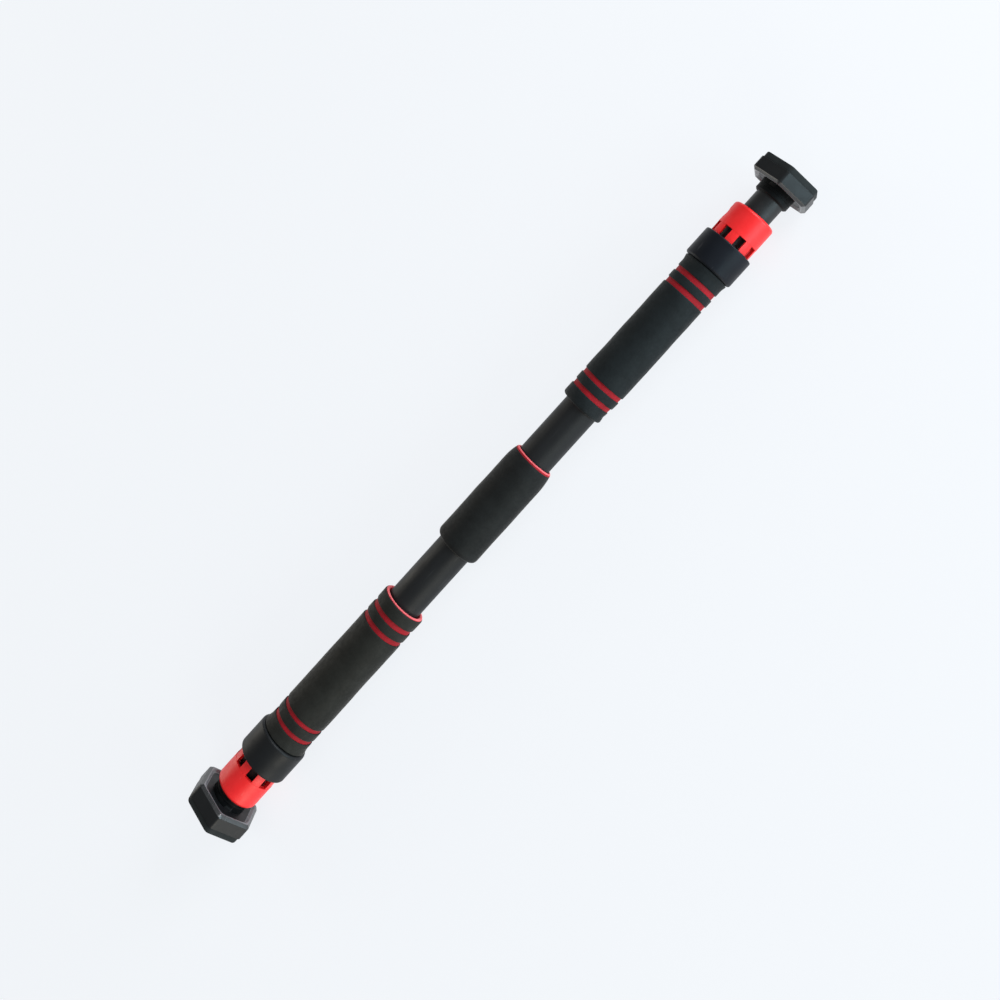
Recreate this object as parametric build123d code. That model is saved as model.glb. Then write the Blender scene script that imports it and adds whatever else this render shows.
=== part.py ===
from build123d import *
import os
from math import atan, cos, degrees, radians

# Doorway pull up bar: two screw-out ends with hexagonal feet, sliding ring locks and foam grips.
#
# The bar lies along X, with its origin on its axis, midway between the two foot pads. Each end is
# drawn closed, with X measured outwards from the middle of the main tube, then moved out by its
# extension and mirrored if it is the left one. Sizes are in millimetres and degrees.

# Main tube and the bar's adjustment
tube_outer = 32.0
tube_wall = 1.2
end_travel = 190.0  # how far each end screws out from closed
left_extension = 0.0  # how far each end stands out at rest
right_extension = 21.0

# Inner tube, with a keyway that faces down
inner_gap = 1.2  # between the two tubes, all round
inner_wall = 2.0
tube_overlap = 60.6  # left inside the main tube at full travel
keyway_width = 4.2
keyway_angle = -90.0
keyway_overrun = 4.0  # past the guide bush at full travel
keyway_margin = 2.0  # short of the foot's neck
key_clearance = 0.15
key_root = 0.5  # the key's foot in the wall that carries it

# Screw drive
nut_wall = 4.6
thread_clearance = 0.08
anchor_length = 18.0
anchor_gap = 1.0
anchor_pin_diameter = 5.0
anchor_pin_sink = 0.6
nut_gap = 5.0  # from the anchor plug, closed
nut_body_length = 20.0
nut_flange_length = 5.0
nut_pin_diameter = 3.0
nut_pin_gap = 0.6  # from the pin's point to the spindle
spindle_overrun = 3.0  # spindle past the nut at full travel
stop_washer_gap = 1.1
stop_washer_thickness = 2.5
stop_screw_diameter = 6.0
stop_screw_grip = 14.0
stop_head_diameter = 10.0
stop_head_height = 5.0
hex_key_width = 5.0
hex_key_corner = 0.2

# Guide bush, keyed to the inner tube and held between the tube's mouth and the collar
bush_length = 30.0
bush_flange_thickness = 2.8
bush_flange_step = 0.5  # stands out from the main tube
bush_flange_clearance = 0.2
running_clearance = 0.06
axial_play = 0.2

# Collar
collar_wall = 3.2
collar_seat = 7.0  # on the main tube, between the foam and the mouth
collar_rim_round = 1.4
collar_back_round = 2.2
collar_mouth_round = 0.8
foam_tuck = 3.0
foam_tuck_clearance = 0.2
collar_lip = 1.8
collar_lip_gap = 1.2
collar_screw_diameter = 4.0
collar_screw_sink = 0.6
collar_screw_gap = 0.3  # from the screw's point to the guide bush
collar_screw_angles = (-60.0, -120.0)
screw_socket_diameter = 2.0
screw_socket_depth = 2.0

# Sliding ring lock: notches in the sleeve, dogs in the collar
lock_wall = 6.8
lock_clearance = 0.3
lock_step = 0.2  # the toothed skirt is this much lower than the grip ring
lock_length = 38.3
lock_skirt_wall = 3.0
lock_end_round = 3.0
lock_reach = 4.5  # tooth tips inside the collar's rim when free
lock_travel = 8.2
notch_count = 8
notch_width = 7.7
notch_outside = 10.6  # from the collar's rim to the notch's end
notch_wall = 3.1  # skirt past the notches
dog_clearance = 0.55
dog_height = 2.8
dog_gap = 0.5  # to the tooth tips when free
left_notch_angle = 26.0
right_notch_angle = 36.0
ring_section = 1.8
ring_from_end = 9.0
ring_groove_extra = 0.1
ring_groove_play = 0.4
thumb_mark_radius = 5.0
thumb_mark_depth = 0.7
thumb_mark_angle = 21.0
thumb_mark_from_end = 13.5

# Hexagonal foot
foot_flats = 55.6
foot_corner_round = 4.0
foot_length = 13.5
bevel_length = 2.4
bevel_inset = 2.4
left_foot_turn = 0.0
right_foot_turn = -17.0
rim_width = 1.0  # flat, between the bevel and the recess
recess_depth = 2.0
recess_corner_round = 9.0
recess_slope = 45.0
neck_wall = 2.8
neck_length = 9.8
neck_nest = 2.2  # inside the lock's end when closed
neck_clearance = 0.5
nest_clearance = 0.3
neck_chamfer = 1.2
neck_groove_depth = 0.5
neck_groove_width = 0.8
neck_groove_places = (0.5, 0.76)  # along the neck
foot_web = 4.0
plug_length = 24.0
bolt_diameter = 8.0
bolt_clearance = 0.4
bolt_length = 20.0
bolt_head_diameter = 13.0
bolt_head_height = 3.0
bolt_head_sink = 0.4
washer_diameter = 18.0
washer_thickness = 1.6
washer_margin = 2.0
pad_thickness = 6.0
pad_inset = 0.9
pad_edge_round = 0.8

# Foam grips: a firm core under a thin outer layer that is cut through in narrow rings
core_thickness = 3.25
skin_thickness = 1.75
skin_edge_round = 0.9
outer_band = 12.0  # from the collar to the first groove
inner_band = 12.2
grip_ring = 8.1
grip_groove = 4.4
left_grip_main = 95.7
right_grip_main = 102.4
middle_grip_length = 99.5
middle_grip_offset = -1.75

# Diameters that follow
tube_bore = tube_outer - 2 * tube_wall
inner_outer = tube_bore - 2 * inner_gap
inner_bore = inner_outer - 2 * inner_wall
spindle_diameter = inner_bore - 2 * nut_wall
stop_washer_diameter = inner_bore - 2 * stop_washer_gap
key_width = keyway_width - 2 * key_clearance
bush_flange_diameter = tube_outer + 2 * bush_flange_step
lock_outer = inner_outer + 2 * lock_wall
chamber_radius = lock_outer / 2 + lock_clearance
collar_outer = 2 * (chamber_radius + collar_wall)
dog_width = notch_width - 2 * dog_clearance
neck_diameter = inner_outer + 2 * neck_wall
bolt_pocket_diameter = washer_diameter + 2 * washer_margin
core_outer = tube_outer + 2 * core_thickness
grip_outer = core_outer + 2 * skin_thickness

# Places along the bar that follow, from its middle outwards
anchor_pin_centre = anchor_gap + anchor_length / 2
inner_start = anchor_gap + anchor_length + nut_gap + nut_flange_length
nut_end = inner_start + nut_body_length
spindle_end = nut_end + end_travel + spindle_overrun
tube_half = inner_start + end_travel + tube_overlap
bush_start = tube_half - bush_length
keyway_start = bush_start - end_travel - keyway_overrun
collar_back = tube_half - collar_seat - foam_tuck
collar_screw_place = tube_half - collar_seat / 2
flange_start = tube_half + axial_play
flange_end = flange_start + bush_flange_thickness
chamber_floor = flange_end + axial_play + collar_lip
collar_rim = chamber_floor + nest_clearance + lock_travel + lock_reach
lock_start = collar_rim - lock_reach
notch_end = collar_rim + notch_outside
skirt_end = notch_end + notch_wall
lock_end = lock_start + lock_length
ring_groove_centre = lock_end - ring_from_end
neck_start = lock_end - neck_nest
foot_back = neck_start + neck_length
pad_back = foot_back + foot_length
closed_half = pad_back + pad_thickness
washer_seat = pad_back - bolt_head_sink - bolt_head_height - washer_thickness
inner_end = washer_seat - foot_web
tube_centre = (left_extension - right_extension) / 2


def rod(radius, start, end):
    """A cylinder along X."""
    return Pos((start + end) / 2, 0, 0) * Rot(0, 90, 0) * Cylinder(radius, end - start)


def ring(outer_radius, inner_radius, start, end):
    """A tube along X."""
    return rod(outer_radius, start, end) - rod(inner_radius, start, end)


def across(radius, along, angle, inner, outer):
    """A cylinder square to the X axis at a place along it, from one distance out to another."""
    stem = Pos(0, 0, (inner + outer) / 2) * Cylinder(radius, outer - inner)
    return Pos(along, 0, 0) * Rot(angle - 90, 0, 0) * stem


def wedge(width, inner, outer, start, end, angle):
    """A straight-sided block that stands out from the X axis at an angle about it."""
    block = Pos((start + end) / 2, 0, (inner + outer) / 2) * Box(end - start, width, outer - inner)
    return Rot(angle - 90, 0, 0) * block


def hexagon_outline(flats, corner_round):
    """A hexagon with rounded corners, one of them on its first axis."""
    outline = RegularPolygon(flats / 2 / cos(radians(30)), 6)
    return fillet(outline.vertices(), corner_round)


def hexagon(flats, corner_round, start, end):
    """A hexagonal bar along X, with a corner on +Y."""
    outline = hexagon_outline(flats, corner_round)
    return extrude(Plane.YZ.offset(start) * outline, amount=end - start)


def rounded(solid, along, radius, size):
    """The solid with its round edges of one radius, at one place along X, rounded."""
    rim = circles(solid, along, radius)
    return fillet(rim, size)


def circles(solid, along, radius):
    """The solid's round edges of one radius at one place along X."""
    found = solid.edges().filter_by(GeomType.CIRCLE)
    return [e for e in found if abs(e.radius - radius) < 0.01 and abs(e.arc_center.X - along) < 0.01]


def main_tube():
    tube = ring(tube_outer / 2, tube_bore / 2, -tube_half, tube_half)
    for side in (-1, 1):
        tube -= anchor_pin_hole(side * anchor_pin_centre)
        for angle in collar_screw_angles:
            place = side * collar_screw_place
            tube -= across(collar_screw_diameter / 2, place, angle, 0, tube_outer)
    return tube


def anchor_pin_hole(along):
    return across(anchor_pin_diameter / 2, along, 90, -tube_outer, tube_outer)


def anchor_plug():
    plug = ring(tube_bore / 2, spindle_diameter / 2, anchor_gap, anchor_gap + anchor_length)
    return plug - anchor_pin_hole(anchor_pin_centre)


def anchor_pin():
    reach = tube_outer / 2 - anchor_pin_sink
    return across(anchor_pin_diameter / 2, anchor_pin_centre, 90, -reach, reach)


def spindle():
    screw = rod(spindle_diameter / 2, anchor_gap, spindle_end)
    screw -= anchor_pin_hole(anchor_pin_centre)
    return screw - rod(stop_screw_diameter / 2, spindle_end - stop_screw_grip, spindle_end)


def stop_washer():
    end = spindle_end + stop_washer_thickness
    return ring(stop_washer_diameter / 2, stop_screw_diameter / 2, spindle_end, end)


def stop_screw():
    seat = spindle_end + stop_washer_thickness
    top = seat + stop_head_height
    screw = rod(stop_screw_diameter / 2, spindle_end - stop_screw_grip, seat)
    screw += rod(stop_head_diameter / 2, seat, top)
    return screw - hexagon(hex_key_width, hex_key_corner, seat + stop_head_height / 2, top)


def nut_pin_stem():
    """The nut pin before its head is shaped to the inner tube."""
    middle = inner_start + nut_body_length / 2
    inner = spindle_diameter / 2 + nut_pin_gap
    return across(nut_pin_diameter / 2, middle, 90, inner, inner_outer / 2)


def drive_nut():
    flange_face = inner_start - nut_flange_length
    nut = rod(inner_bore / 2, inner_start, nut_end)
    nut += rod(tube_bore / 2 - running_clearance, flange_face, inner_start)
    nut -= rod(spindle_diameter / 2 + thread_clearance, flange_face, nut_end)
    return nut - nut_pin_stem()


def nut_pin():
    return nut_pin_stem() & rod(inner_outer / 2, inner_start, nut_end)


def inner_tube():
    tube = ring(inner_outer / 2, inner_bore / 2, inner_start, inner_end)
    keyway_end = neck_start - keyway_margin
    tube -= wedge(keyway_width, 0, inner_outer, keyway_start, keyway_end, keyway_angle)
    return tube - nut_pin_stem()


def inner_tube_key(start, end):
    """A key in the inner tube's keyway, rooted in what slides along the tube."""
    tip = inner_bore / 2 + key_clearance
    root = inner_outer / 2 + running_clearance + key_root
    return wedge(key_width, tip, root, start, end, keyway_angle)


def guide_bush():
    bore = inner_outer / 2 + running_clearance
    bush = ring(tube_bore / 2 - running_clearance, bore, bush_start, flange_start)
    bush += ring(bush_flange_diameter / 2, bore, flange_start, flange_end)
    return bush + inner_tube_key(bush_start, flange_end)


def collar(notch_angle):
    body = rod(collar_outer / 2, collar_back, collar_rim)
    body = rounded(body, collar_rim, collar_outer / 2, collar_rim_round)
    body = rounded(body, collar_back, collar_outer / 2, collar_back_round)
    tuck_radius = grip_outer / 2 + foam_tuck_clearance
    flange_radius = bush_flange_diameter / 2 + bush_flange_clearance
    body -= rod(tuck_radius, collar_back, collar_back + foam_tuck)
    body -= rod(tube_outer / 2, collar_back, tube_half)
    body -= rod(flange_radius, tube_half, chamber_floor - collar_lip)
    body -= rod(inner_outer / 2 + collar_lip_gap, tube_half, chamber_floor)
    body -= rod(chamber_radius, chamber_floor, collar_rim)
    body = rounded(body, collar_rim, chamber_radius, collar_mouth_round)
    dog_tip = chamber_radius - dog_height
    dog_root = chamber_radius + collar_wall / 2
    for k in range(notch_count):
        angle = notch_angle + k * 360 / notch_count
        body += wedge(dog_width, dog_tip, dog_root, chamber_floor, lock_start - dog_gap, angle)
    for angle in collar_screw_angles:
        body -= across(collar_screw_diameter / 2, collar_screw_place, angle, 0, collar_outer)
    return body


def collar_screws():
    inner = tube_bore / 2 + collar_screw_gap
    outer = collar_outer / 2 - collar_screw_sink
    socket_floor = outer - screw_socket_depth
    screws = []
    for angle in collar_screw_angles:
        screw = across(collar_screw_diameter / 2, collar_screw_place, angle, inner, outer)
        screw -= across(screw_socket_diameter / 2, collar_screw_place, angle, socket_floor, outer)
        screws.append(screw)
    return Compound(children=screws)


def lock_sleeve(notch_angle, marked):
    bore = inner_outer / 2 + running_clearance
    skirt_radius = lock_outer / 2 - lock_step
    skirt_bore = skirt_radius - lock_skirt_wall
    sleeve = rod(lock_outer / 2, lock_start, lock_end)
    sleeve = rounded(sleeve, lock_end, lock_outer / 2, lock_end_round)
    sleeve -= ring(lock_outer, skirt_radius, lock_start, notch_end)
    sleeve -= rod(skirt_bore, lock_start, skirt_end)
    sleeve -= rod(bore, lock_start, lock_end)
    nest_floor = neck_start - nest_clearance
    sleeve -= rod(neck_diameter / 2 + neck_clearance, nest_floor, lock_end)
    half_groove = (ring_section + ring_groove_play) / 2
    groove_radius = bore + ring_section + ring_groove_extra
    sleeve -= rod(groove_radius, ring_groove_centre - half_groove, ring_groove_centre + half_groove)
    for k in range(notch_count):
        angle = notch_angle + k * 360 / notch_count
        sleeve -= wedge(notch_width, bore, lock_outer, lock_start, notch_end, angle)
    sleeve += inner_tube_key(skirt_end, ring_groove_centre - half_groove)
    if marked:
        floor = lock_outer / 2 - thumb_mark_depth
        place = lock_end - thumb_mark_from_end
        sleeve -= across(thumb_mark_radius, place, thumb_mark_angle, floor, lock_outer)
    return sleeve


def friction_ring():
    middle = inner_outer / 2 + running_clearance + ring_section / 2
    return Pos(ring_groove_centre, 0, 0) * Rot(0, 90, 0) * Torus(middle, ring_section / 2)


def foot_housing(turn):
    bevel_start = foot_back + bevel_length
    backwards = Plane((bevel_start, 0, 0), x_dir=(0, 1, 0), z_dir=(-1, 0, 0))
    outline = backwards * hexagon_outline(foot_flats, foot_corner_round)
    bevel_angle = degrees(atan(bevel_inset / bevel_length))
    housing = hexagon(foot_flats, foot_corner_round, bevel_start, pad_back)
    housing += extrude(outline, amount=bevel_length, taper=bevel_angle)
    recess_flats = foot_flats - 2 * (bevel_inset + rim_width)
    mouth = Plane.YZ.offset(foot_back) * hexagon_outline(recess_flats, recess_corner_round)
    housing -= extrude(mouth, amount=recess_depth, taper=recess_slope)
    neck = rod(neck_diameter / 2, neck_start, foot_back + 2 * recess_depth)
    neck = chamfer(circles(neck, neck_start, neck_diameter / 2), neck_chamfer)
    half_groove = neck_groove_width / 2
    for place in neck_groove_places:
        middle = neck_start + place * neck_length
        floor = neck_diameter / 2 - neck_groove_depth
        neck -= ring(neck_diameter, floor, middle - half_groove, middle + half_groove)
    housing += neck
    housing -= rod(inner_outer / 2, neck_start, inner_end)
    housing -= rod((bolt_diameter + bolt_clearance) / 2, inner_end, pad_back)
    housing -= rod(bolt_pocket_diameter / 2, washer_seat, pad_back)
    return Rot(turn, 0, 0) * housing


def foot_plug():
    return ring(inner_bore / 2, bolt_diameter / 2, inner_end - plug_length, inner_end)


def foot_washer():
    return ring(
        washer_diameter / 2, bolt_diameter / 2, washer_seat, washer_seat + washer_thickness
    )


def foot_bolt():
    seat = washer_seat + washer_thickness
    top = seat + bolt_head_height
    bolt = rod(bolt_diameter / 2, seat - bolt_length, seat)
    bolt += rod(bolt_head_diameter / 2, seat, top)
    return bolt - hexagon(hex_key_width, hex_key_corner, seat + bolt_head_height / 3, top)


def foot_pad(turn):
    flats = foot_flats - 2 * pad_inset
    pad = hexagon(flats, foot_corner_round - pad_inset, pad_back, closed_half)
    face_edges = pad.faces().sort_by(Axis.X)[-1].edges()
    return Rot(turn, 0, 0) * fillet(face_edges, pad_edge_round)


def skin_band(start, end, round_end=True):
    """One band of a grip's outer layer."""
    band = ring(grip_outer / 2, core_outer / 2, start, end)
    band = rounded(band, start, grip_outer / 2, skin_edge_round)
    if round_end:
        band = rounded(band, end, grip_outer / 2, skin_edge_round)
    return band


def grip_start(main_band):
    """The inner end of a hand grip, which runs from there to its collar."""
    bands = outer_band + grip_ring + main_band + grip_ring + inner_band
    return collar_back - bands - 4 * grip_groove


def grip_core(main_band):
    start = grip_start(main_band)
    return ring(core_outer / 2, tube_outer / 2, start, collar_back + foam_tuck)


def grip_skin(main_band):
    """The bands of a hand grip's outer layer, the last one tucked into the collar."""
    start = grip_start(main_band)
    bands = []
    for length in (inner_band, grip_ring, main_band, grip_ring):
        bands.append(skin_band(start, start + length))
        start += length + grip_groove
    bands.append(skin_band(start, collar_back + foam_tuck, round_end=False))
    return Compound(children=bands)


def middle_grip_core():
    start = middle_grip_offset - middle_grip_length / 2
    return ring(core_outer / 2, tube_outer / 2, start, start + middle_grip_length)


def middle_grip_skin():
    start = middle_grip_offset - middle_grip_length / 2
    return skin_band(start, start + middle_grip_length)


def placed(shape, side, extension=0.0):
    """A closed right end's piece, moved out by its extension and to its own side."""
    shape = Pos(extension, 0, 0) * shape
    if side < 0:
        shape = mirror(shape, about=Plane.YZ)
    return Pos(tube_centre, 0, 0) * shape


def fixed_pieces(side, notch_angle, main_band):
    """One end's pieces that don't screw in and out."""
    return {
        "collar": collar(notch_angle),
        "collar_screws": collar_screws(),
        "grip_core": grip_core(main_band),
        "grip_skin": grip_skin(main_band),
        "anchor_plug": anchor_plug(),
        "anchor_pin": anchor_pin(),
        "spindle": spindle(),
        "stop_washer": stop_washer(),
        "stop_screw": stop_screw(),
        "guide_bush": guide_bush(),
        "lock_sleeve": lock_sleeve(notch_angle, marked=side > 0),
        "friction_ring": friction_ring(),
    }


def moved_pieces(foot_turn):
    """One end's pieces that screw in and out with its foot."""
    return {
        "inner_tube": inner_tube(),
        "drive_nut": drive_nut(),
        "nut_pin": nut_pin(),
        "foot_plug": foot_plug(),
        "foot_housing": foot_housing(foot_turn),
        "foot_washer": foot_washer(),
        "foot_bolt": foot_bolt(),
        "foot_pad": foot_pad(foot_turn),
    }


def build():
    nodes = {
        "main_tube": placed(main_tube(), 1),
        "middle_grip_core": placed(middle_grip_core(), 1),
        "middle_grip_skin": placed(middle_grip_skin(), 1),
    }
    for piece, shape in fixed_pieces(-1, left_notch_angle, left_grip_main).items():
        nodes[f"{piece}_left"] = placed(shape, -1)
    for piece, shape in moved_pieces(left_foot_turn).items():
        nodes[f"{piece}_left"] = placed(shape, -1, left_extension)
    for piece, shape in fixed_pieces(1, right_notch_angle, right_grip_main).items():
        nodes[f"{piece}_right"] = placed(shape, 1)
    for piece, shape in moved_pieces(right_foot_turn).items():
        nodes[f"{piece}_right"] = placed(shape, 1, right_extension)
    return nodes


os.makedirs("parts", exist_ok=True)
for node, shape in build().items():
    export_step(shape, f"parts/{node}.step")
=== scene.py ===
import math

import bmesh
import bpy
from mathutils import Matrix, Vector


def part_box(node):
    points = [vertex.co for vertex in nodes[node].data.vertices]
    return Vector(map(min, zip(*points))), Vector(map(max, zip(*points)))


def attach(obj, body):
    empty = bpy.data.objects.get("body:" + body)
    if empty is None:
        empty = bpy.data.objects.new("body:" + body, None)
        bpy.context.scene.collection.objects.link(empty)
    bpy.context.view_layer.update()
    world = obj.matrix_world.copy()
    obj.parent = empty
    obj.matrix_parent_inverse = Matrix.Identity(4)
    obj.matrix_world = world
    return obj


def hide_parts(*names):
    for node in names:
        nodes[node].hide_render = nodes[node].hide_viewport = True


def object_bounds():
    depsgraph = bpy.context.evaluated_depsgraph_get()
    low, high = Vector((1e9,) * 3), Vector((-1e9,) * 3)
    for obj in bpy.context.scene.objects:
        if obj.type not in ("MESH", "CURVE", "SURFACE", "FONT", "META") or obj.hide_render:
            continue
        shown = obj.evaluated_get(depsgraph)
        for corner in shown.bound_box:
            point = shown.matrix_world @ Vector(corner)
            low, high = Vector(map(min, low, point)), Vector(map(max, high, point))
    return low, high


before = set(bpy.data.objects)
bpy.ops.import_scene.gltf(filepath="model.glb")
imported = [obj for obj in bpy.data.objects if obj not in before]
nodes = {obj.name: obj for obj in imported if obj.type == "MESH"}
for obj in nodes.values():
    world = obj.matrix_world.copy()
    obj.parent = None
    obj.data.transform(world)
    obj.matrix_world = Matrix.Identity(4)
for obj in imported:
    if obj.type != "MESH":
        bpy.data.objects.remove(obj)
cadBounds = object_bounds()
sides = {"left": -1, "right": 1}
print("frame loaded:", len(nodes), "CAD nodes")


# small steps that every piece goes through
def selectNothing():
    if bpy.context.mode != "OBJECT":
        bpy.ops.object.mode_set(mode="OBJECT")
    bpy.ops.object.select_all(action="DESELECT")


def makeActive(piece):
    selectNothing()
    piece.select_set(True)
    bpy.context.view_layer.objects.active = piece


def applyPlace(piece):  # leaves the object at the origin, with its place in its mesh
    makeActive(piece)
    bpy.ops.object.transform_apply(location=True, rotation=True, scale=True)


def applyModifiers(piece):
    makeActive(piece)
    for name in [m.name for m in piece.modifiers]:
        bpy.ops.object.modifier_apply(modifier=name)


def mergeAndFaceOutwards(piece):
    makeActive(piece)
    bpy.ops.object.mode_set(mode="EDIT")
    bpy.ops.mesh.select_all(action="SELECT")
    bpy.ops.mesh.remove_doubles(threshold=1e-6)
    bpy.ops.mesh.normals_make_consistent(inside=False)
    bpy.ops.object.mode_set(mode="OBJECT")


def smoothShade(piece, degrees):
    makeActive(piece)
    bpy.ops.object.shade_smooth_by_angle(angle=math.radians(degrees))


def flattenLargeFaces(piece):  # large faces keep flat shading, and rounded edges take the turn
    weighted = piece.modifiers.new("flatten", "WEIGHTED_NORMAL")
    weighted.keep_sharp = True
    applyModifiers(piece)


def editPiece(piece):
    makeActive(piece)
    bpy.ops.object.mode_set(mode="EDIT")


def selectParts(piece, kind, wanted):  # kind is verts, edges or faces of the piece in edit mode
    bpy.ops.mesh.select_mode(type={"verts": "VERT", "edges": "EDGE", "faces": "FACE"}[kind])
    bpy.ops.mesh.select_all(action="DESELECT")
    mesh = bmesh.from_edit_mesh(piece.data)
    for part in getattr(mesh, kind):
        if wanted(part):
            part.select_set(True)
    mesh.select_flush_mode()
    bmesh.update_edit_mesh(piece.data)


def settle(piece, body, materials, hides):  # the last step for every new piece
    applyPlace(piece)
    piece.data.materials.clear()
    for material in materials:
        piece.data.materials.append(material)
    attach(piece, body)
    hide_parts(*hides)


# A round piece is drawn as a ring of points, pulled along X in steps and sized at each step.
# The last step meets the first, so the wall is closed.
def turnAlongX(name, stations, segments):
    selectNothing()
    x, radius = stations[0]
    bpy.ops.mesh.primitive_circle_add(
        vertices=segments, radius=radius, location=(x, 0, 0), rotation=(0, math.pi / 2, 0)
    )
    piece = bpy.context.object
    piece.name = name
    applyPlace(piece)
    editPiece(piece)
    bpy.ops.mesh.select_all(action="SELECT")
    for nextX, nextRadius in stations[1:]:
        bpy.ops.mesh.extrude_region_move(TRANSFORM_OT_translate={"value": (nextX - x, 0, 0)})
        size = nextRadius / radius
        bpy.ops.transform.resize(value=(1, size, size), center_override=(nextX, 0, 0))
        x, radius = nextX, nextRadius
    selectParts(piece, "edges", lambda e: e.is_boundary)
    bpy.ops.mesh.bridge_edge_loops()
    mergeAndFaceOutwards(piece)
    return piece


def radiusAt(point):  # distance from the bar's axis
    return math.hypot(point.y, point.z)


def roundedRise(start, radius, size, steps=4):  # stations up a rounded end, to the full radius
    turned = [math.pi / 2 * k / steps for k in range(steps + 1)]
    return [(start + size * (1 - math.cos(a)), radius - size * (1 - math.sin(a))) for a in turned]


def roundedFall(end, radius, size):
    return [(2 * end - x, r) for x, r in reversed(roundedRise(end, radius, size))]


def steadySteps(start, end, radius, step):  # stations along a straight stretch, both ends left out
    count = max(1, round(abs(end - start) / step))
    return [(start + (end - start) * k / count, radius) for k in range(1, count)]


def joined(name, pieces):
    selectNothing()
    for piece in pieces:
        piece.select_set(True)
    bpy.context.view_layer.objects.active = pieces[0]
    bpy.ops.object.join()
    pieces[0].name = name
    return pieces[0]


def unevenSurface(piece, size, height):  # a soft unevenness, the same each run
    lumps = bpy.data.textures.new(piece.name + "Lumps", "CLOUDS")
    lumps.noise_scale = size
    lumps.noise_depth = 2  # octaves
    modifier = piece.modifiers.new("lumps", "DISPLACE")
    modifier.texture = lumps
    modifier.texture_coords = "LOCAL"
    modifier.strength = height
    modifier.mid_level = 0.5
    applyModifiers(piece)


# materials
def newMaterial(name, **sockets):
    material = bpy.data.materials.new(name)
    material.use_nodes = True
    tree = material.node_tree
    shader = tree.nodes["Principled BSDF"]
    for socket, value in sockets.items():
        shader.inputs[socket.replace("_", " ")].default_value = value
    return material, tree, shader


def addNode(tree, kind, settings=None, **values):
    made = tree.nodes.new(kind)
    for key, value in (settings or {}).items():
        setattr(made, key, value)
    for key, value in values.items():
        made.inputs[key.replace("_", " ")].default_value = value
    return made


def place(tree, stretch=None, turn=(0, 0, 0)):
    where = addNode(tree, "ShaderNodeTexCoord").outputs["Object"]
    if stretch:
        mapping = addNode(tree, "ShaderNodeMapping", Scale=stretch, Rotation=turn)
        tree.links.new(where, mapping.inputs["Vector"])
        where = mapping.outputs["Vector"]
    return where


def noise(tree, scale, detail=3.0, rough=0.5, stretch=None, turn=(0, 0, 0)):
    made = addNode(tree, "ShaderNodeTexNoise", Scale=scale, Detail=detail, Roughness=rough)
    tree.links.new(place(tree, stretch, turn), made.inputs["Vector"])
    return made.outputs["Fac"]


def ramp(tree, value, stops):
    made = addNode(tree, "ShaderNodeValToRGB")
    elements = made.color_ramp.elements
    while len(elements) < len(stops):
        elements.new(0.5)
    for element, (at, colour) in zip(elements, stops):
        element.position = at
        element.color = (*colour, 1.0)
    tree.links.new(value, made.inputs["Fac"])
    return made.outputs["Color"]


def spread(tree, value, low, high, fromLow=0.3, fromHigh=0.7):  # maps that much of a noise
    limits = {"From_Min": fromLow, "From_Max": fromHigh, "To_Min": low, "To_Max": high}
    made = addNode(tree, "ShaderNodeMapRange", **limits)
    tree.links.new(value, made.inputs["Value"])
    return made.outputs["Result"]


def bump(tree, height, distance, strength=1.0, under=None):
    made = addNode(tree, "ShaderNodeBump", Strength=strength, Distance=distance)
    tree.links.new(height, made.inputs["Height"])
    if under:
        tree.links.new(under, made.inputs["Normal"])
    return made.outputs["Normal"]


def mixed(tree, factor, under, over):
    made = addNode(tree, "ShaderNodeMix", {"data_type": "RGBA"})
    tree.links.new(factor, made.inputs["Factor"])
    tree.links.new(under, made.inputs[6])
    made.inputs[7].default_value = (*over, 1.0)
    return made.outputs[2]


# What every finish is made of. A noise is given as its scale per metre, detail and roughness.
def patchyColour(tree, look):
    low, high = look["patchRange"]
    return ramp(tree, noise(tree, *look["patches"]), [(low, look["dark"]), (high, look["light"])])


def unevenRoughness(tree, shader, look):
    rough = spread(tree, noise(tree, *look["roughPatches"]), *look["rough"])
    tree.links.new(rough, shader.inputs["Roughness"])


def fineGrain(tree, shader, look):
    grain = bump(tree, noise(tree, *look["grain"]), look["grainDepth"], look["grainStrength"])
    tree.links.new(grain, shader.inputs["Normal"])


def fineScratches(tree, look):  # a few thin lines, only where the drawn-out noise is highest
    lines = noise(tree, 1.0, 2.0, 0.4, look["scratchStretch"], look["scratchTurn"])
    return spread(tree, lines, 0.0, look["scratchShare"], fromLow=0.70, fromHigh=0.76)


def rubbedPatches(tree, share):  # rubbed unevenly, down to a paler skin
    return spread(tree, noise(tree, 160.0, 5.0, 0.65), 0.0, share, fromLow=0.35, fromHigh=0.65)


tubeCoat = {
    "dark": (0.0062, 0.0070, 0.0080),
    "light": (0.0088, 0.0100, 0.0112),
    "patches": (14.0, 4.0, 0.6),
    "patchRange": (0.35, 0.68),
    "scratch": (0.050, 0.052, 0.055),
    "scratchShare": 0.5,
    "scratchStretch": (22, 700, 700),
    "scratchTurn": (0, 0, 0.02),
    "roughPatches": (60.0, 4.0),
    "rough": (0.46, 0.58),
    "grain": (1100.0, 2.0),  # the paint's orange peel
    "grainDepth": 0.00006,
    "grainStrength": 0.6,
}


def paintedTube(name, gloss):
    material, tree, shader = newMaterial(name, Specular_IOR_Level=gloss)
    wear = fineScratches(tree, tubeCoat)
    worn = mixed(tree, wear, patchyColour(tree, tubeCoat), tubeCoat["scratch"])
    tree.links.new(worn, shader.inputs["Base Color"])
    unevenRoughness(tree, shader, tubeCoat)
    fineGrain(tree, shader, tubeCoat)
    return material


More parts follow.
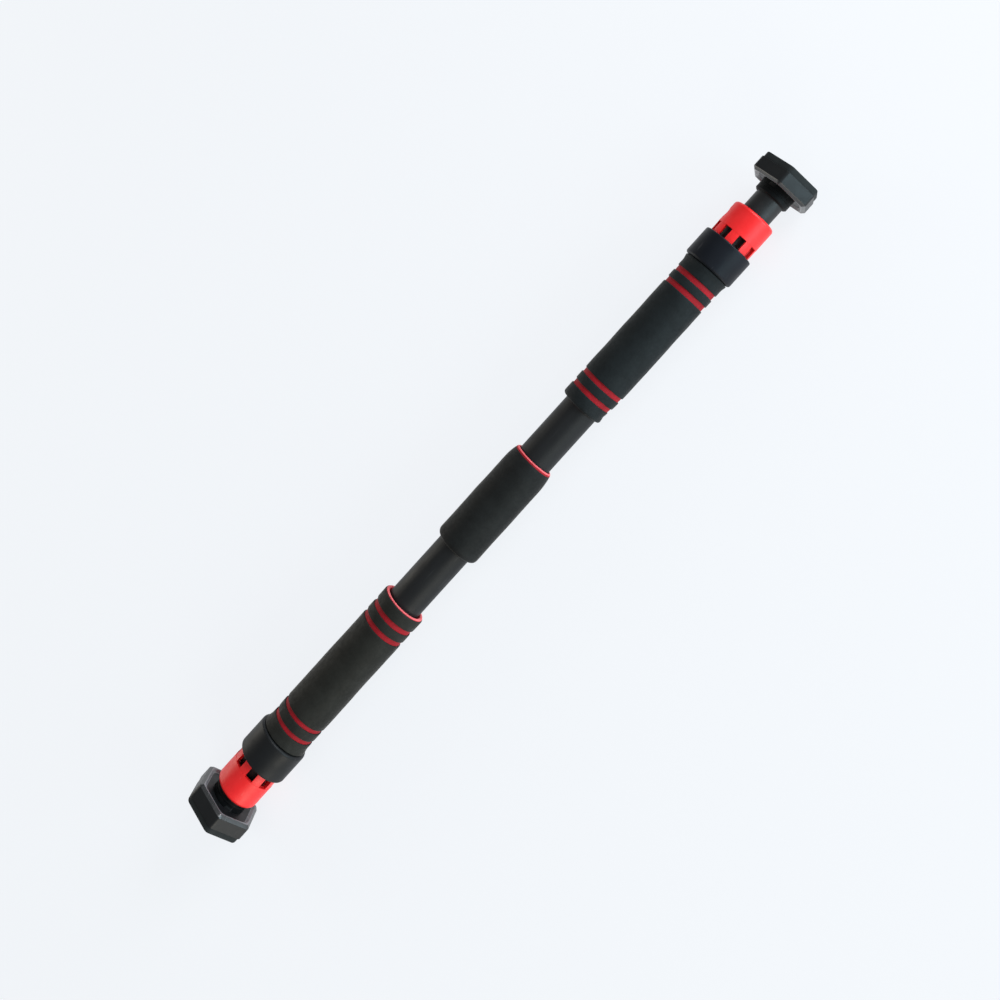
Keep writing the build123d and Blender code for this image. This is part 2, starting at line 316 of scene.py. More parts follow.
blackPlastic = {
    "patches": (30.0, 4.0, 0.6),
    "patchRange": (0.35, 0.68),
    "worn": (0.060, 0.064, 0.070),
    "scratchShare": 0.35,
    "scratchStretch": (60, 420, 420),
    "scratchTurn": (0.3, 0.2, 0.15),
    "roughPatches": (90.0, 5.0),
    "grain": (2600.0, 2.0),
    "grainDepth": 0.00004,
    "grainStrength": 0.5,
}
blackShades = {
    "black": {"dark": (0.0052, 0.0060, 0.0070), "light": (0.0078, 0.0090, 0.0102)},
    # a darker, bluer black, painted on the right collar as painted shade
    "paintedShadeNavy": {"dark": (0.0026, 0.0042, 0.0078), "light": (0.0042, 0.0062, 0.0108)},
    # a darker black, painted on the foot's neck as painted shade
    "paintedShadeBlack": {"dark": (0.0030, 0.0040, 0.0046), "light": (0.0046, 0.0058, 0.0066)},
    # a pale grey, painted on the foot's back rim as a painted highlight
    "paintedHighlightGrey": {"dark": (0.105, 0.107, 0.116), "light": (0.150, 0.153, 0.165)},
}
redPlastic = {
    "dark": (0.87, 0.0130, 0.0145),
    "light": (0.97, 0.0205, 0.0225),
    "patches": (45.0, 4.0, 0.6),
    "patchRange": (0.3, 0.7),
    "worn": (0.90, 0.10, 0.095),
    "scratchShare": 0.4,
    "scratchStretch": (80, 500, 500),
    "scratchTurn": (0.2, 0.3, 0.2),
    "roughPatches": (120.0, 4.0),
    "rough": (0.36, 0.50),
    "gloss": 0.44,
    "grain": (1800.0, 2.0),
    "grainDepth": 0.00003,
    "grainStrength": 0.4,
}


def mouldedFinish(name, look, gloss, wornShare):
    material, tree, shader = newMaterial(name, Specular_IOR_Level=gloss)
    wear = rubbedPatches(tree, wornShare) if wornShare else fineScratches(tree, look)
    worn = mixed(tree, wear, patchyColour(tree, look), look["worn"])
    tree.links.new(worn, shader.inputs["Base Color"])
    unevenRoughness(tree, shader, look)
    fineGrain(tree, shader, look)
    return material


def mouldedPlastic(name, shade, roughLow, roughHigh, gloss, wornShare=0.0):
    look = {**blackPlastic, **blackShades[shade], "rough": (roughLow, roughHigh)}
    return mouldedFinish(name, look, gloss, wornShare)


def redMoulding(name, wornShare=0.0):
    return mouldedFinish(name, redPlastic, redPlastic["gloss"], wornShare)


# painted light: the three skins are one foam, painted warmer and paler on the left and bluer on the
# right for how the light falls there
foamLooks = {
    "skinLeft": {"dark": (0.0124, 0.0126, 0.0108), "light": (0.0202, 0.0206, 0.0180)},
    "skinMiddle": {"dark": (0.0076, 0.0086, 0.0086), "light": (0.0132, 0.0148, 0.0148)},
    "skinRight": {"dark": (0.0070, 0.0098, 0.0110), "light": (0.0120, 0.0162, 0.0180)},
    "core": {"dark": (0.26, 0.0070, 0.013), "light": (0.40, 0.0120, 0.021)},
    # a paler pink, painted on the cut end faces as a painted highlight
    "face": {"dark": (0.68, 0.105, 0.115), "light": (0.86, 0.165, 0.180)},
}
foamCells = {  # closed cells: small pits of uneven size, over a soft unevenness
    "patches": (70.0, 5.0, 0.65),
    "patchRange": (0.33, 0.70),
    "roughPatches": (300.0, 3.0),
    "rough": (0.55, 0.72),
    "gloss": 0.16,
    "sheenRoughness": 0.28,
    "sheenTint": (1.0, 0.93, 0.85, 1.0),
    "poreScale": 1500.0,
    "poreDepth": 0.00022,
    "poreStrength": 0.35,
    "swell": (220.0, 3.0),
    "swellDepth": 0.0006,
    "swellStrength": 0.22,
}


def foam(name, shade, sheen):
    look = {**foamCells, **foamLooks[shade]}
    material, tree, shader = newMaterial(
        name, Specular_IOR_Level=look["gloss"], Sheen_Weight=sheen,
        Sheen_Roughness=look["sheenRoughness"], Sheen_Tint=look["sheenTint"],
    )
    tree.links.new(patchyColour(tree, look), shader.inputs["Base Color"])
    unevenRoughness(tree, shader, look)
    cells = addNode(tree, "ShaderNodeTexVoronoi", Scale=look["poreScale"])
    tree.links.new(place(tree), cells.inputs["Vector"])
    pits = spread(tree, cells.outputs["Distance"], 0.0, 1.0, fromLow=0.05, fromHigh=0.55)
    small = bump(tree, pits, look["poreDepth"], look["poreStrength"])
    wide = bump(tree, noise(tree, *look["swell"]), look["swellDepth"], look["swellStrength"], small)
    tree.links.new(wide, shader.inputs["Normal"])
    return material


padLook = {
    "dark": (0.0170, 0.0200, 0.0210),
    "light": (0.0250, 0.0290, 0.0300),
    "patches": (60.0, 5.0, 0.6),
    "patchRange": (0.3, 0.7),
    "dust": (0.12, 0.12, 0.12),
    "dustPatches": (35.0, 6.0, 0.7),
    "dustShare": 0.12,
    "roughPatches": (200.0, 3.0),
    "rough": (0.5, 0.7),
    "gloss": 0.10,
    "grain": (1500.0, 3.0),
    "grainDepth": 0.00006,
    "grainStrength": 0.5,
}


def rubber():
    material, tree, shader = newMaterial("padRubber", Specular_IOR_Level=padLook["gloss"])
    patches = noise(tree, *padLook["dustPatches"])
    dust = spread(tree, patches, 0.0, padLook["dustShare"], fromLow=0.50, fromHigh=0.75)
    dusty = mixed(tree, dust, patchyColour(tree, padLook), padLook["dust"])
    tree.links.new(dusty, shader.inputs["Base Color"])
    unevenRoughness(tree, shader, padLook)
    fineGrain(tree, shader, padLook)
    return material


metalLook = {
    "patches": (40.0, 4.0, 0.6),
    "patchRange": (0.3, 0.7),
    "roughPatches": (150.0, 4.0),
    "lineDepth": 0.00002,
    "lineStrength": 0.5,
}


def platedMetal(name, dark, light, rough, lines):
    look = {**metalLook, "dark": dark, "light": light, "rough": rough}
    material, tree, shader = newMaterial(name, Metallic=1.0)
    tree.links.new(patchyColour(tree, look), shader.inputs["Base Color"])
    unevenRoughness(tree, shader, look)
    turned = bump(tree, noise(tree, 1.0, 2.0, 0.5, lines), look["lineDepth"], look["lineStrength"])
    tree.links.new(turned, shader.inputs["Normal"])
    return material


nylonLook = {
    "dark": (0.56, 0.55, 0.50),
    "light": (0.66, 0.65, 0.60),
    "patches": (60.0, 4.0),
    "patchRange": (0.3, 0.7),
    "roughPatches": (150.0, 3.0),
    "rough": (0.35, 0.5),
    "gloss": 0.5,
    "glowThrough": 0.15,
    "glowDepth": 0.003,
}


def naturalNylon():
    material, tree, shader = newMaterial(
        "naturalNylon", Specular_IOR_Level=nylonLook["gloss"],
        Subsurface_Weight=nylonLook["glowThrough"], Subsurface_Scale=nylonLook["glowDepth"],
    )
    tree.links.new(patchyColour(tree, nylonLook), shader.inputs["Base Color"])
    unevenRoughness(tree, shader, nylonLook)
    return material


# black plastics: name, shade, roughness from and to, gloss, share rubbed pale
turnedAcross = (900, 60, 60)  # turning lines run round the bar
evenLines = (400, 400, 400)
finishes = {
    "tube": paintedTube("paintedTube", 0.30),
    "innerTube": paintedTube("paintedInnerTube", 0.55),
    "collarLeft": mouldedPlastic("collarPlastic", "black", 0.44, 0.56, 0.24),
    # painted shade: the right collar is the same plastic as the left, painted darker and bluer
    "collarRightPaintedShade": mouldedPlastic("collarPlasticPaintedShade", "paintedShadeNavy", 0.42, 0.54, 0.22),
    "collarEdge": mouldedPlastic("collarEdge", "black", 0.36, 0.48, 0.40, 0.5),
    "foot": mouldedPlastic("footPlastic", "black", 0.36, 0.48, 0.34),
    "footEdge": mouldedPlastic("footEdge", "black", 0.28, 0.40, 0.70, 0.7),
    # painted highlight: the foot's back rim is the same black plastic, painted pale grey
    "footRimPaintedHighlight": mouldedPlastic("footRimPaintedHighlight", "paintedHighlightGrey", 0.24, 0.36, 0.9),
    "footBevel": mouldedPlastic("footBevel", "black", 0.24, 0.34, 1.0),
    # painted shade: the foot's neck is the same plastic, painted darker
    "footNeckPaintedShade": mouldedPlastic("footNeckPaintedShade", "paintedShadeBlack", 0.50, 0.62, 0.14),
    "lock": redMoulding("redMoulding"),
    "lockEdge": redMoulding("redMouldingEdge", 0.5),
    # painted light: one foam, painted warmer and paler on the left, bluer on the right
    "skinLeft": foam("blackFoamLeftPaintedLight", "skinLeft", 0.16),
    "skinMiddle": foam("blackFoamMiddlePaintedLight", "skinMiddle", 0.14),
    "skinRight": foam("blackFoamRightPaintedLight", "skinRight", 0.12),
    "core": foam("redFoam", "core", 0.0),
    # painted highlight: the cut end faces are the same red foam, painted paler
    "coreFacePaintedHighlight": foam("redFoamCutFacePaintedHighlight", "face", 0.0),
    "pad": rubber(),
    "nylon": naturalNylon(),
    "zinc": platedMetal(
        "zincPlate", (0.50, 0.51, 0.52), (0.66, 0.67, 0.68), (0.22, 0.38), turnedAcross
    ),
    "blackOxide": platedMetal(
        "blackOxide", (0.03, 0.031, 0.033), (0.05, 0.052, 0.055), (0.4, 0.55), evenLines
    ),
    "brass": platedMetal(
        "turnedBrass", (0.62, 0.43, 0.17), (0.74, 0.54, 0.24), (0.2, 0.35), turnedAcross
    ),
}
finishOfPiece = {
    "main_tube": "tube", "inner_tube": "innerTube", "collar": "collarLeft", "lock_sleeve": "lock",
    "foot_housing": "foot", "foot_pad": "pad", "friction_ring": "pad", "guide_bush": "nylon",
    "grip_core": "core", "grip_skin": "skinLeft",
    "middle_grip_core": "core", "middle_grip_skin": "skinMiddle",
    "anchor_plug": "zinc", "anchor_pin": "zinc", "spindle": "zinc", "stop_washer": "zinc",
    "stop_screw": "blackOxide", "collar_screws": "blackOxide", "nut_pin": "zinc",
    "drive_nut": "brass", "foot_plug": "zinc", "foot_washer": "zinc", "foot_bolt": "zinc",
}
for name, node in nodes.items():
    base = name.removesuffix("_left").removesuffix("_right")
    node.data.materials.clear()
    node.data.materials.append(finishes[finishOfPiece[base]])
print("materials made:", len(finishes))


# Moulded pieces keep the CAD shape and get edges that are rounded, as a mould leaves them, and worn.
# An edge is rounded where it is sharper than leastAngle and lies outside plainWithin of the axis.
moulded = {
    "foot_housing": {
        "piece": "footHousing", "body": "end", "slot": "foot_plastic",
        "finish": {"left": "foot", "right": "foot"}, "worn": "footEdge",
        "edgeRadius": 0.00045, "leastAngle": 20, "plainWithin": 0.0190,
    },
    "lock_sleeve": {
        "piece": "ringLock", "body": "lock", "slot": "lock_plastic",
        "finish": {"left": "lock", "right": "lock"}, "worn": "lockEdge",
        "edgeRadius": 0.00028, "leastAngle": 40, "plainWithin": 0.0,
    },
    "collar": {
        "piece": "tubeCollar", "body": "bar", "slot": "collar_plastic",
        # the right collar's finish is painted shade, darker and bluer than the left
        "finish": {"left": "collarLeft", "right": "collarRightPaintedShade"}, "worn": "collarEdge",
        "edgeRadius": 0.00030, "leastAngle": 40, "plainWithin": 0.0,
    },
}
mouldedMesh = {
    "mergeWithin": 2e-6,
    "flatWithin": 0.6,  # degrees, for the triangles of one flat face
    "edgeSegments": 2,
    "smoothBelow": 30,  # degrees
}


def mouldedPiece(cadBase, side):
    make, cadName = moulded[cadBase], f"{cadBase}_{side}"
    piece = bpy.data.objects.new(make["piece"] + side.title(), nodes[cadName].data.copy())
    bpy.context.scene.collection.objects.link(piece)
    editPiece(piece)
    bpy.ops.mesh.select_all(action="SELECT")
    bpy.ops.mesh.remove_doubles(threshold=mouldedMesh["mergeWithin"])
    bpy.ops.mesh.dissolve_limited(angle_limit=math.radians(mouldedMesh["flatWithin"]))
    least = math.radians(make["leastAngle"])
    selectParts(
        piece, "edges",
        lambda e: e.is_manifold and e.calc_face_angle(0) > least
        and all(radiusAt(v.co) > make["plainWithin"] for v in e.verts),
    )
    bpy.ops.transform.edge_bevelweight(value=1.0)
    bpy.ops.object.mode_set(mode="OBJECT")
    bevel = piece.modifiers.new("edges", "BEVEL")
    bevel.width, bevel.segments = make["edgeRadius"], mouldedMesh["edgeSegments"]
    bevel.limit_method = "WEIGHT"
    bevel.material = 1
    bevel.use_clamp_overlap = True
    applyModifiers(piece)
    smoothShade(piece, mouldedMesh["smoothBelow"])
    body = "bar" if make["body"] == "bar" else f"{make['body']}_{side}"
    used = [finishes[make["finish"][side]], finishes[make["worn"]]]
    settle(piece, body, used, [cadName])
    flattenLargeFaces(piece)
    return piece


footBack = {
    "rimRadius": 0.0218,  # from here out, the back is smoother, and its flat rim is painted pale grey as a painted highlight
    "facing": 0.35,  # how squarely a face of the rim or the bevel looks back along the bar
    "outwards": 0.35,  # faces that lean outwards more than this belong to the bevel
}


def finishFoot(piece, side):  # the neck is painted darker as painted shade, the back of the hexagon is smoother, and its flat rim painted pale as a painted highlight
    neckRadius = moulded["foot_housing"]["plainWithin"]
    paintedNeckShade, rim, bevel = (len(piece.data.materials) + k for k in range(3))
    for finish in ("footNeckPaintedShade", "footRimPaintedHighlight", "footBevel"):
        piece.data.materials.append(finishes[finish])
    for face in piece.data.polygons:
        reach = [radiusAt(piece.data.vertices[v].co) for v in face.vertices]
        facing = -sides[side] * face.normal.x
        if max(reach) < neckRadius:
            face.material_index = paintedNeckShade
        elif min(reach) > footBack["rimRadius"] and facing > footBack["facing"]:
            middle = face.center
            outwards = (face.normal.y * middle.y + face.normal.z * middle.z) / radiusAt(middle)
            face.material_index = rim if outwards < footBack["outwards"] else bevel


for cadBase in moulded:
    for side in sides:
        made = mouldedPiece(cadBase, side)
        if cadBase == "foot_housing":
            finishFoot(made, side)
print("moulded pieces rounded:", 2 * len(moulded))


# Rubber pads: a hexagon with rounded corners and three shallow grooves pressed into its face.
padPress = {
    "cornerRadius": 0.0032,
    "cornerSegments": 6,
    "rim": 0.0011,
    "rimSegments": 4,
    "tall": 0.002,  # only the edges at the corners stand this tall
    "margin": 0.0062,  # from the rim to the first groove
    "grooves": 3,
    "grooveSlope": 0.0006,
    "grooveFloor": 0.0013,
    "grooveDepth": 0.0009,
    "land": 0.0030,  # between two grooves
    "softEdge": 0.00025,
    "softAngle": 25,
    "smoothBelow": 30,
    "turn": {"left": 0.0, "right": -17.0},  # degrees about the bar, as the foot
}
onPlane = 1e-5  # a point this close to a plane lies on it
smallFace = 1e-6  # square metres


def footPad(side):
    low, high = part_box("foot_pad_left")
    flats = high.z - low.z  # the left pad has a flat at the top and one at the bottom
    low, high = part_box(f"foot_pad_{side}")
    selectNothing()
    bpy.ops.mesh.primitive_cylinder_add(
        vertices=6, radius=flats / 2 / math.cos(math.pi / 6), depth=high.x - low.x,
        location=((low.x + high.x) / 2, 0, 0), rotation=(0, math.pi / 2, 0),
    )
    piece = bpy.context.object
    piece.name = "footPad" + side.title()
    applyPlace(piece)
    corner = max(piece.data.vertices, key=lambda v: v.co.y).co
    turned = math.radians(padPress["turn"][side]) - math.atan2(corner.z, corner.y)
    piece.rotation_euler = (turned, 0, 0)
    applyPlace(piece)
    outer = high.x if sides[side] > 0 else low.x
    editPiece(piece)
    selectParts(piece, "faces", lambda f: all(abs(v.co.x - outer) < onPlane for v in f.verts))
    bpy.ops.mesh.inset(thickness=padPress["margin"])
    for _ in range(padPress["grooves"]):
        bpy.ops.mesh.inset(thickness=padPress["grooveSlope"], depth=-padPress["grooveDepth"])
        bpy.ops.mesh.inset(thickness=padPress["grooveFloor"])
        bpy.ops.mesh.inset(thickness=padPress["grooveSlope"], depth=padPress["grooveDepth"])
        bpy.ops.mesh.inset(thickness=padPress["land"])
    selectParts(piece, "edges", lambda e: abs(e.verts[0].co.x - e.verts[1].co.x) > padPress["tall"])
    bpy.ops.mesh.bevel(
        offset=padPress["cornerRadius"], segments=padPress["cornerSegments"], affect="EDGES"
    )
    selectParts(  # the rim, between the face and the pad's sides
        piece, "edges",
        lambda e: all(abs(v.co.x - outer) < onPlane for v in e.verts)
        and any(abs(f.normal.x) < 0.5 and f.calc_area() > smallFace for f in e.link_faces),
    )
    bpy.ops.mesh.bevel(offset=padPress["rim"], segments=padPress["rimSegments"], affect="EDGES")
    bpy.ops.object.mode_set(mode="OBJECT")
    soften = piece.modifiers.new("soften", "BEVEL")
    soften.width, soften.segments = padPress["softEdge"], 2
    soften.limit_method, soften.angle_limit = "ANGLE", math.radians(padPress["softAngle"])
    applyModifiers(piece)
    mergeAndFaceOutwards(piece)
    smoothShade(piece, padPress["smoothBelow"])
    settle(piece, f"end_{side}", [finishes["pad"]], [f"foot_pad_{side}"])
    flattenLargeFaces(piece)


for side in sides:
    footPad(side)
print("foot pads made")


# Foam grips: a black skin cut through in rings over a firm red core.
grip = {
    "outerBand": {"left": 0.0120, "right": 0.0129},  # from the collar to the first groove
    "outerRing": {"left": 0.0084, "right": 0.0077},
    "outerGroove": {"left": 0.0038, "right": 0.0050},
    "innerBand": 0.0122,
    "innerRing": 0.0080,
    "innerGroove": 0.0045,
    "grooveDepth": 0.0010,
    "edgeRound": 0.0007,
    "endRound": 0.0030,
    "coreGap": 0.00004,  # the core lies this far under the skin, so that they don't flicker
    "boreGap": 0.00005,
    "step": 0.0040,
    "segments": 96,
    "lumpSize": 0.018,
    "lumpHeight": {"skin": 0.00055, "core": 0.00044},
    "smoothBelow": 50,
    "fill": 0.9,
}
tuck = {  # the foam swells where the collar grips it, then dives under the rim
    "swell": 0.0009,
    "length": 0.0070,
    "reached": 0.86,  # the share of the length in which the swell is full
    "steps": 5,
    "diveFrom": 0.0009,  # before the rim
    "diveSwell": 0.7,
    "diveTo": 0.0005,
    "radius": 0.0202,
}
freeEnd = {
    "faceRadius": 0.0202,  # the core shows this far out at an open end
    "faceDepth": 0.0020,
    "standOut": 0.0010,  # the core stands out of the skin
    "lipEdge": 0.0003,
    "lipLength": 0.0012,
    "tubeGap": 0.0014,  # the end stands off the tube by this much
    "mouth": 0.0060,  # the bore opens over this length
    "mouthEdge": 0.0004,
    "crown": 0.0001,  # the cut face bulges by this much
    "faceRound": 0.0006,
    "slopeFrom": 0.0008,  # a closed end has a slope under the skin instead
    "slopeTo": 0.0022,
    "slopeDrop": 0.0009,
    "straightFrom": 0.0030,
}


def radiusOf(nodeName):
    low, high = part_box(nodeName)
    return (high.z - low.z) / 2


skinRadius = radiusOf("middle_grip_skin")
tubeRadius = radiusOf("main_tube")
floorRadius = skinRadius - grip["grooveDepth"]  # the skin's underside
coreRadius = floorRadius - grip["coreGap"]
boreRadius = tubeRadius + grip["boreGap"]


# Each profile is drawn with X growing away from the free end, then turned to its side.
def cutBand(start, end):  # a band with a groove at both ends
    r = grip["edgeRound"]
    up = roundedRise(start, skinRadius, r)
    middle = steadySteps(start + r, end - r, skinRadius, grip["step"])
    return [(start, floorRadius), *up, *middle, *roundedFall(end, skinRadius, r), (end, floorRadius)]


def openBand(start, end):  # the thin lip of skin round a grip's open end
    r = grip["edgeRound"]
    lip = start + freeEnd["standOut"]
    lipEnd = lip + freeEnd["lipLength"]
    rise = [
        (lip, freeEnd["faceRadius"]),
        (lip + freeEnd["lipEdge"], skinRadius - freeEnd["lipEdge"]),
        (lipEnd, skinRadius),
    ]
    middle = steadySteps(lipEnd, end - r, skinRadius, grip["step"])
    fall = roundedFall(end, skinRadius, r)
    under = [(end, floorRadius), (lip + freeEnd["faceDepth"], floorRadius)]
    return [*rise, *middle, *fall, *under]


def closedBand(start, end):  # a free end where the skin was drawn down round the core
    r, size = grip["edgeRound"], grip["endRound"]
    up = roundedRise(start, skinRadius, size, 6)
    middle = steadySteps(start + size, end - r, skinRadius, grip["step"])
    under = [(end, floorRadius), (start + size, floorRadius)]
    return [*up, *middle, *roundedFall(end, skinRadius, r), *under]


def tuckedBand(start, rim, end):
    up = roundedRise(start, skinRadius, grip["edgeRound"])
    swell = []
    for k in range(tuck["steps"] + 1):
        grown = math.sin(math.pi / 2 * k / tuck["steps"]) ** 2
        x = rim - tuck["length"] + tuck["length"] * tuck["reached"] * k / tuck["steps"]
        swell.append((x, skinRadius + tuck["swell"] * grown))
    dive = [
        (rim - tuck["diveFrom"], skinRadius + tuck["swell"] * tuck["diveSwell"]),
        (rim - tuck["diveTo"], tuck["radius"]),
    ]
    return [(start, floorRadius), *up, *swell, *dive, (end, tuck["radius"]), (end, floorRadius)]


def coreProfile(start, end, isOpen):
    lifted = boreRadius + freeEnd["tubeGap"]
    if isOpen:
        outer = freeEnd["faceRadius"]
        face = [
            (start + freeEnd["mouth"], boreRadius),
            (start + freeEnd["mouth"] * 2 / 3, boreRadius + freeEnd["tubeGap"] * 0.5),
            (start + freeEnd["mouthEdge"], lifted),
            (start, boreRadius + freeEnd["tubeGap"] * 1.4),
            (start - freeEnd["crown"], (lifted + outer) / 2),
            (start + freeEnd["crown"], outer - freeEnd["faceRound"]),
            (start + freeEnd["faceRound"], outer - freeEnd["crown"]),
            (start + freeEnd["standOut"], outer),
            (start + freeEnd["faceDepth"], coreRadius),
        ]
    else:
        face = [
            (start, boreRadius),
            (start, lifted),
            (start + freeEnd["slopeFrom"], floorRadius - freeEnd["slopeDrop"]),
            (start + freeEnd["slopeTo"], coreRadius),
        ]
    straight = steadySteps(start + freeEnd["straightFrom"], end, coreRadius, grip["step"])
    return [*face, *straight, (end, coreRadius), (end, boreRadius)]


def toSide(profile, origin, direction):
    return [(origin + direction * x, radius) for x, radius in profile]


def finishFoam(piece, layer, materials, hides):  # layer is skin or core
    unevenSurface(piece, grip["lumpSize"], grip["lumpHeight"][layer])
    smoothShade(piece, grip["smoothBelow"])
    settle(piece, "bar", materials, [hides])


def finishSkin(piece, finish, hides):
    finishFoam(piece, "skin", [finishes[finish]], hides)


cutFace = {"facing": 0.6, "reach": 0.0012}  # faces that look along the bar, this near to the end


def finishCore(piece, freeX, away, hides):
    finishFoam(piece, "core", [finishes["core"], finishes["coreFacePaintedHighlight"]], hides)
    for face in piece.data.polygons:  # the cut face is painted paler than the moulded side, a painted highlight for the strong light on it
        facing = -away * face.normal.x
        if facing > cutFace["facing"] and abs(face.center.x - freeX) < cutFace["reach"]:
            face.material_index = 1


drawnOff = {  # the closed end slopes down to the tube on one side
    "from": 0.0085,  # behind the end
    "half": 0.0022,
    "side": (-0.934, -0.358),  # along Y and Z
    "sideWidth": 0.88,  # cosine of the angle that is pulled, to each side
    "size": 0.890,
    "reach": 0.030,
    "tubeMargin": 0.0003,  # the bore stays as it is
}


def drawOffEnd(piece, free, away):
    middle = free + away * drawnOff["from"]
    size, (sideY, sideZ) = drawnOff["size"], drawnOff["side"]
    editPiece(piece)
    selectParts(piece, "verts", lambda v: radiusAt(v.co) < tubeRadius + drawnOff["tubeMargin"])
    bpy.ops.mesh.hide()
    selectParts(
        piece, "verts",
        lambda v: not v.hide and abs(v.co.x - middle) < drawnOff["half"]
        and v.co.y * sideY + v.co.z * sideZ > drawnOff["sideWidth"] * radiusAt(v.co),
    )
    bpy.ops.transform.resize(
        value=(1, size, size), center_override=(middle, 0, 0), use_proportional_edit=True,
        proportional_edit_falloff="SHARP", proportional_size=drawnOff["reach"],
    )
    bpy.ops.mesh.reveal(select=False)
    bpy.ops.object.mode_set(mode="OBJECT")


def handGrip(side):
    away = sides[side]  # from the free end to the collar
    isOpen = side == "left"
    low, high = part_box(f"grip_skin_{side}")
    collarLow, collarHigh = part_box(f"collar_{side}")
    free = low.x if away > 0 else high.x
    length = high.x - low.x
    rim = abs((collarLow.x if away > 0 else collarHigh.x) - free)
    outerGroove, innerGroove = grip["outerGroove"][side], grip["innerGroove"]
    outerStart = rim - grip["outerBand"][side]
    outerRingEnd = outerStart - outerGroove
    outerRingStart = outerRingEnd - grip["outerRing"][side]
    innerRingStart = grip["innerBand"] + innerGroove
    innerRingEnd = innerRingStart + grip["innerRing"]
    firstBand = openBand if isOpen else closedBand
    profiles = [
        firstBand(0, grip["innerBand"]),
        cutBand(innerRingStart, innerRingEnd),
        cutBand(innerRingEnd + innerGroove, outerRingStart - outerGroove),
        cutBand(outerRingStart, outerRingEnd),
        tuckedBand(outerStart, rim, length),
    ]
    bands = [turnAlongX("band", toSide(p, free, away), grip["segments"]) for p in profiles]
    skin = joined("handGripSkin" + side.title(), bands)
    if not isOpen:
        drawOffEnd(skin, free, away)
    finishSkin(skin, "skin" + side.title(), f"grip_skin_{side}")
    profile = toSide(coreProfile(0, length, isOpen), free, away)
    core = turnAlongX("handGripCore" + side.title(), profile, grip["segments"])
    if not isOpen:
        drawOffEnd(core, free, away)
    finishCore(core, free, away, f"grip_core_{side}")


middleGrip = {
    "longer": 0.0017,  # the core's free end reaches this far past the plain solid
    "taper": 0.0016,  # the right end is drawn down by this much
    "taperLength": 0.0170,
    "taperSteps": 6,
    "turnedIn": 0.0050,  # the skin is turned in round the left end
    "turnedSteps": 8,
    "turnedGap": 0.0003,  # and ends this far off the tube
    "turnedWall": 0.0004,
    "lip": 0.0003,  # skin that shows round the red face
    "lipLength": 0.0004,
    "standOut": 0.0022,  # the core stands out of the skin
    "faceRound": 0.0019,
    "mouth": 0.0030,  # the core's bore opens over this length
    "mouthEdge": 0.0004,
    "mouthGap": 0.0008,
}


def middleGripPieces():
    low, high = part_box("middle_grip_skin")
    shape = middleGrip
    end, start = high.x + shape["longer"], low.x
    straightStart, straightEnd = start + shape["turnedIn"], end - shape["taperLength"]
    turnedRadius = tubeRadius + shape["turnedGap"]
    turned = []
    for k in range(shape["turnedSteps"] + 1):
        a = math.pi / 2 * (1 - k / shape["turnedSteps"])
        x = start + shape["turnedIn"] * (1 - math.sin(a))
        turned.append((x, turnedRadius + (skinRadius - turnedRadius) * math.cos(a)))
    straight = steadySteps(straightStart, straightEnd, skinRadius, grip["step"])
    taper = []
    for k in range(shape["taperSteps"]):
        drawn = shape["taper"] * (1 - math.cos(math.pi / 2 * k / shape["taperSteps"]))
        x = end - shape["taperLength"] * (1 - k / (shape["taperSteps"] + 1))
        taper.append((x, skinRadius - drawn))
    lipRadius, skinEnd = skinRadius - shape["taper"] - shape["lip"], end - shape["standOut"]
    lip = [(skinEnd - shape["lipLength"], lipRadius + shape["lip"] * 0.8), (skinEnd, lipRadius)]
    under = [
        (straightEnd, floorRadius), (straightStart, floorRadius),
        (start + shape["turnedIn"] * 0.4, turnedRadius + shape["turnedWall"]),
    ]
    profile = [*turned, *straight, *taper, *lip, *under]
    skin = turnAlongX("middleGripSkin", profile, grip["segments"])
    finishSkin(skin, "skinMiddle", "middle_grip_skin")
    rounded = []
    for k in range(6):
        a = math.pi / 2 * k / 5
        x = end - shape["standOut"] * (1 - math.sin(a))
        rounded.append((x, lipRadius - shape["faceRound"] * (1 - math.cos(a))))
    mouth = [
        (end - shape["mouthEdge"], boreRadius + shape["mouthGap"]),
        (end - shape["mouth"], boreRadius),
    ]
    straight = steadySteps(straightStart, straightEnd, coreRadius, grip["step"])
    profile = [
        (straightStart, boreRadius), (straightStart, coreRadius), *straight,
        (straightEnd, coreRadius), *rounded, *mouth,
    ]
    core = turnAlongX("middleGripCore", profile, grip["segments"])
    finishCore(core, end, -1, "middle_grip_core")


for side in sides:
    handGrip(side)
middleGripPieces()
print("foam grips made")


# camera, floor and lights
view = {
    "lookUp": 58.25,  # degrees above the horizon
    "roll": 47.85,
    "along": 0.1947,  # the lens stands square to the bar at this place along it
    "distance": 0.953,
    "lift": 0.1810,  # the lens looks over the bar by this much
    "lens": 40.0,
    "sensor": 36.0,
    "shift": (0.0, -0.3165),
    "clip": (0.02, 20),
}


def makeCamera():
    tilt = math.radians(view["lookUp"])
    back = Vector((0, -math.cos(tilt), math.sin(tilt)))
    up = Vector((0, math.sin(tilt), math.cos(tilt)))
    camera = bpy.data.objects.new("camera", bpy.data.cameras.new("camera"))
    bpy.context.scene.collection.objects.link(camera)
    turn = Matrix.Rotation(math.radians(-view["roll"]), 3, "Z")
    facing = Matrix((Vector((1, 0, 0)), up, back)).transposed() @ turn
    spot = Vector((view["along"], 0, 0)) + back * view["distance"] + up * view["lift"]
    camera.matrix_world = Matrix.Translation(spot) @ facing.to_4x4()
    camera.data.lens = view["lens"]
    camera.data.sensor_width = view["sensor"]
    camera.data.shift_x, camera.data.shift_y = view["shift"]
    camera.data.clip_start, camera.data.clip_end = view["clip"]
    bpy.context.scene.camera = camera


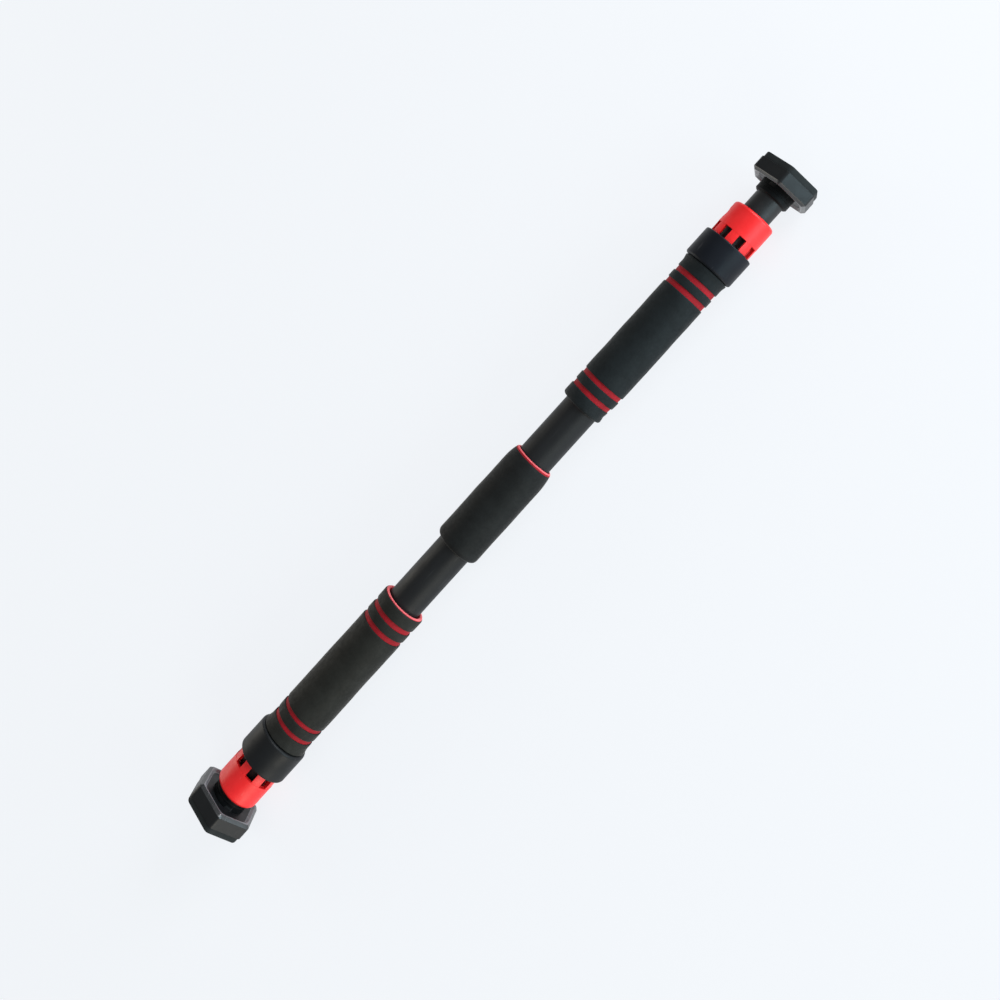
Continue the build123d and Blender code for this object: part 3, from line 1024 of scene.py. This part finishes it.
floorPaint = {
    "colour": (0.15, 0.155, 0.16),
    "glow": (0.905, 0.930, 0.965),
    "glowStrength": 0.866,
    "rough": 0.95,
    "gloss": 0.05,
    "size": 8.0,
    "below": 0.0002,  # under the lowest point, so that nothing flickers
}


def makeFloor():
    bpy.ops.mesh.primitive_plane_add(
        size=floorPaint["size"], location=(0, 0, cadBounds[0].z - floorPaint["below"])
    )
    floor = bpy.context.object
    floor.name = "floor"
    material, tree, shader = newMaterial(
        "paleFloor", Roughness=floorPaint["rough"], Specular_IOR_Level=floorPaint["gloss"]
    )
    shader.inputs["Base Color"].default_value = (*floorPaint["colour"], 1)
    shader.inputs["Emission Color"].default_value = (*floorPaint["glow"], 1)
    shader.inputs["Emission Strength"].default_value = floorPaint["glowStrength"]
    floor.data.materials.append(material)


lamps = (  # name, place, size in metres, watts, colour
    ("coolKey", (1.2, -2.0, 0.50), 1.2, 36, (0.66, 0.90, 1.0)),
    ("warmKey", (-1.1, -2.0, 0.55), 1.2, 20, (1.0, 0.96, 0.84)),
    ("topSoftbox", (-0.4, -0.2, 2.4), 1.6, 3, (0.97, 0.98, 1.0)),
    ("endSoftbox", (1.9, -0.35, 0.75), 1.2, 34, (0.95, 0.97, 1.0)),
    ("warmSoftbox", (-0.9, 1.9, 0.50), 1.2, 13, (1.0, 0.94, 0.82)),
)
worldGlow = {"colour": (0.94, 0.97, 1.0), "strength": 0.25}


def makeLights():
    world = bpy.data.worlds.new("softRoom")
    bpy.context.scene.world = world
    world.use_nodes = True
    glow = world.node_tree.nodes["Background"]
    glow.inputs["Color"].default_value = (*worldGlow["colour"], 1)
    glow.inputs["Strength"].default_value = worldGlow["strength"]
    for name, spot, size, power, colour in lamps:
        lamp = bpy.data.lights.new(name, "AREA")
        lamp.size, lamp.energy, lamp.color = size, power, colour
        holder = bpy.data.objects.new(name, lamp)
        bpy.context.scene.collection.objects.link(holder)
        holder.location = spot
        holder.rotation_euler = (-Vector(spot)).to_track_quat("-Z", "Y").to_euler()


makeFloor()
makeCamera()
makeLights()
bpy.context.scene.view_settings.view_transform = "Standard"
print("stage set")
